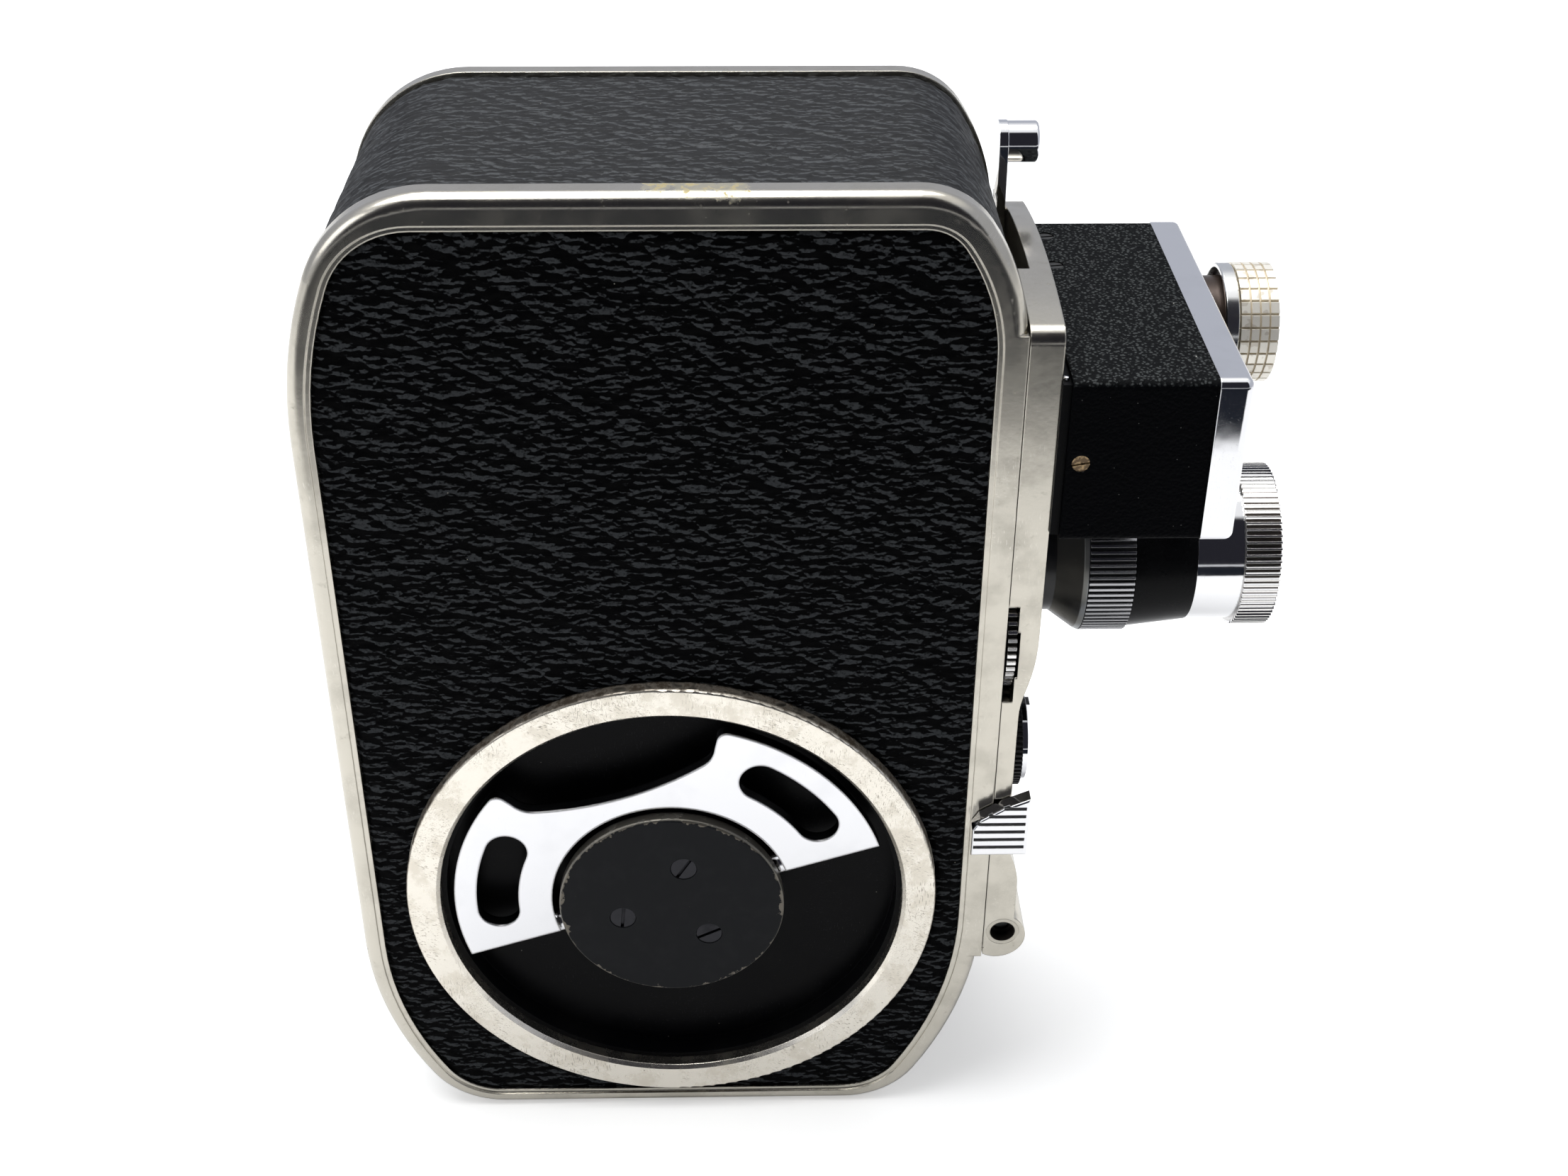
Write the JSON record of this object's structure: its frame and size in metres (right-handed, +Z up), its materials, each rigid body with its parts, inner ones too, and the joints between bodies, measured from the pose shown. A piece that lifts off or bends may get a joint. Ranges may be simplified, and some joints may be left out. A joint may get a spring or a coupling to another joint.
{
  "type": "cine camera",
  "caption": "Pocket clockwork cine camera with folding winding key, sliding trigger, finder box and knurled lens, built as separate casings, clockwork and optics.",
  "frame": {"origin": "centre of the tripod thread's mouth, in the plane the camera stands on", "axes": "+X out of the taking lens, +Y towards the film door, +Z up"},
  "size_m": [0.1108, 0.0434, 0.1258],
  "materials": {
    "satin_aluminium": "satin cast aluminium, worn and dulled",
    "leather": "black grained leather",
    "champagne_metal": "pale satin metal with a warm cast",
    "chrome": "polished chrome",
    "satin_black": "satin black paint",
    "worn_black": "dull black paint, edges chipped",
    "black_crinkle": "black crinkle paint",
    "steel": "machined steel",
    "blued_steel": "blued spring steel",
    "brass": "machined brass",
    "cream_metal": "pale champagne plated ring",
    "black_plastic": "glossy black moulding",
    "dial_black": "black dial",
    "glass": "clear coated glass",
    "dark_steel": "black anodised, polished on the ridges"
  },
  "bodies": {
    "camera_body": {"main_casting": "satin_aluminium", "leather_band": "leather", "mechanism_cover": "satin_aluminium", "mechanism_cover_leather": "leather", "winder_ring": "champagne_metal", "winder_dish": "satin_black", "tripod_bush": "steel", "mechanism_bridge": "steel", "gate_plate": "satin_black", "front_plate": "satin_aluminium", "front_plate_screws": "steel", "cable_socket": "satin_aluminium", "box_flange": "satin_black", "box_housing": "black_crinkle", "box_screws": "brass", "box_bezel": "chrome", "box_panel": "satin_black", "finder_barrel": "satin_black", "finder_collar": "chrome", "finder_glass": "glass", "finder_prism": "glass", "finder_tube": "satin_black", "lens_mount": "satin_black", "lens_barrel": "satin_black", "lens_glass": "glass"},
    "winder": {"winding_arbor": "steel", "ratchet_wheel": "steel", "key_hub": "steel", "key_hub_cap": "worn_black", "hub_cap_screws": "blued_steel", "key_hinge_pins": "steel"},
    "key": {"winding_key": "chrome"},
    "click": {"click_pawl": "steel"},
    "barrel": {"spring_barrel": "brass", "mainspring": "blued_steel"},
    "centre": {"centre_wheel": "brass"},
    "idler": {"idler_wheel": "brass"},
    "take_up": {"take_up_spindle": "steel", "take_up_spool": "black_plastic"},
    "governor": {"governor_arbor": "steel", "governor_weights": "brass"},
    "shutter_drive": {"shutter_drive_arbor": "steel"},
    "shutter": {"shutter_shaft": "steel", "shutter_disc": "satin_black"},
    "claw": {"claw": "steel"},
    "pressure": {"pressure_plate": "steel"},
    "door": {"film_door": "satin_aluminium", "film_door_leather": "leather", "counter_window": "glass"},
    "door_lock": {"door_lock_knob": "chrome"},
    "counter": {"counter_dial": "dial_black"},
    "speed": {"speed_wheel": "chrome"},
    "dial": {"front_dial": "dial_black", "front_dial_cap": "chrome"},
    "trigger": {"trigger": "chrome"},
    "plunger": {"cable_plunger": "steel"},
    "lever": {"cell_lever": "chrome"},
    "finder_grip": {"finder_ring": "cream_metal"},
    "aperture": {"aperture_ring": "dark_steel"},
    "focus": {"focus_ring": "chrome"}
  },
  "joints": [
    {"name": "winding_turn", "type": "hinge", "parent": "camera_body", "child": "winder", "pos_m": [0, -0.02, 0.0355], "axis": [0, -1, 0], "continuous": true},
    {"name": "key_fold", "type": "hinge", "parent": "winder", "child": "key", "pos_m": [0, -0.0183, 0.0355], "axis": [0.9478, 0, 0.319], "range_deg": [0, 90]},
    {"name": "click_lift", "type": "hinge", "parent": "camera_body", "child": "click", "pos_m": [-0.00173, -0.0151, 0.04778], "axis": [0, 1, 0], "range_deg": [0, 12]},
    {"name": "barrel_turn", "type": "hinge", "parent": "camera_body", "child": "barrel", "pos_m": [0, -0.009, 0.0355], "axis": [0, 1, 0], "continuous": true},
    {"name": "centre_turn", "type": "hinge", "parent": "camera_body", "child": "centre", "pos_m": [0, -0.008, 0.0643], "axis": [0, 1, 0], "continuous": true},
    {"name": "idler_turn", "type": "hinge", "parent": "camera_body", "child": "idler", "pos_m": [-0.00822, -0.002, 0.04497], "axis": [0, 1, 0], "continuous": true},
    {"name": "take_up_turn", "type": "hinge", "parent": "camera_body", "child": "take_up", "pos_m": [-0.009, 0.005, 0.033], "axis": [0, 1, 0], "continuous": true},
    {"name": "governor_turn", "type": "hinge", "parent": "camera_body", "child": "governor", "pos_m": [-0.01559, -0.008, 0.0733], "axis": [0, 1, 0], "continuous": true},
    {"name": "shutter_drive_turn", "type": "hinge", "parent": "camera_body", "child": "shutter_drive", "pos_m": [0.01773, -0.008, 0.06117], "axis": [0, 1, 0], "continuous": true},
    {"name": "shutter_turn", "type": "hinge", "parent": "camera_body", "child": "shutter", "pos_m": [0.028, -0.004, 0.0668], "axis": [1, 0, 0], "continuous": true},
    {"name": "claw_stroke", "type": "slide", "parent": "camera_body", "child": "claw", "axis": [0, 0, -1], "range_m": [0, 0.0038]},
    {"name": "pressure_travel", "type": "slide", "parent": "camera_body", "child": "pressure", "axis": [-1, 0, 0], "range_m": [0, 0.001]},
    {"name": "door_off", "type": "slide", "parent": "camera_body", "child": "door", "axis": [0, 1, 0], "range_m": [0, 0.03]},
    {"name": "lock_turn", "type": "hinge", "parent": "door", "child": "door_lock", "pos_m": [0.002, 0.019, 0.064], "axis": [0, 1, 0], "range_deg": [0, 90]},
    {"name": "counter_turn", "type": "hinge", "parent": "door", "child": "counter", "pos_m": [0.016, 0.0175, 0.1], "axis": [0, 1, 0], "range_deg": [0, 300]},
    {"name": "speed_turn", "type": "hinge", "parent": "camera_body", "child": "speed", "pos_m": [0.039, -0.0127, 0.0712], "axis": [1, 0, 0], "range_deg": [0, 300]},
    {"name": "dial_turn", "type": "hinge", "parent": "camera_body", "child": "dial", "pos_m": [0.041, -0.008, 0.051], "axis": [1, 0, 0], "range_deg": [-150, 150]},
    {"name": "trigger_slide", "type": "slide", "parent": "camera_body", "child": "trigger", "axis": [0, 0, 1], "range_m": [-0.0038, 0.0015]},
    {"name": "release_push", "type": "slide", "parent": "camera_body", "child": "plunger", "axis": [0, 1, 0], "range_m": [0, 0.0015]},
    {"name": "lever_swing", "type": "hinge", "parent": "camera_body", "child": "lever", "pos_m": [0.039, 0.01, 0.084], "axis": [1, 0, 0], "range_deg": [-2, 30]},
    {"name": "finder_turn", "type": "hinge", "parent": "camera_body", "child": "finder_grip", "pos_m": [0.069, 0.0125, 0.0967], "axis": [1, 0, 0], "range_deg": [-60, 60]},
    {"name": "aperture_turn", "type": "hinge", "parent": "camera_body", "child": "aperture", "pos_m": [0.0525, 0.0045, 0.0707], "axis": [1, 0, 0], "range_deg": [-75, 75]},
    {"name": "focus_turn", "type": "hinge", "parent": "camera_body", "child": "focus", "pos_m": [0.068, 0.0045, 0.0707], "axis": [1, 0, 0], "range_deg": [-120, 60]}
  ],
  "couplings": [
    {"joint": "centre_turn", "follows": "barrel_turn", "ratio": -5},
    {"joint": "idler_turn", "follows": "barrel_turn", "ratio": 12.5},
    {"joint": "take_up_turn", "follows": "barrel_turn", "ratio": -12.5},
    {"joint": "governor_turn", "follows": "barrel_turn", "ratio": 25},
    {"joint": "shutter_drive_turn", "follows": "barrel_turn", "ratio": 25},
    {"joint": "shutter_turn", "follows": "barrel_turn", "ratio": 25}
  ]
}
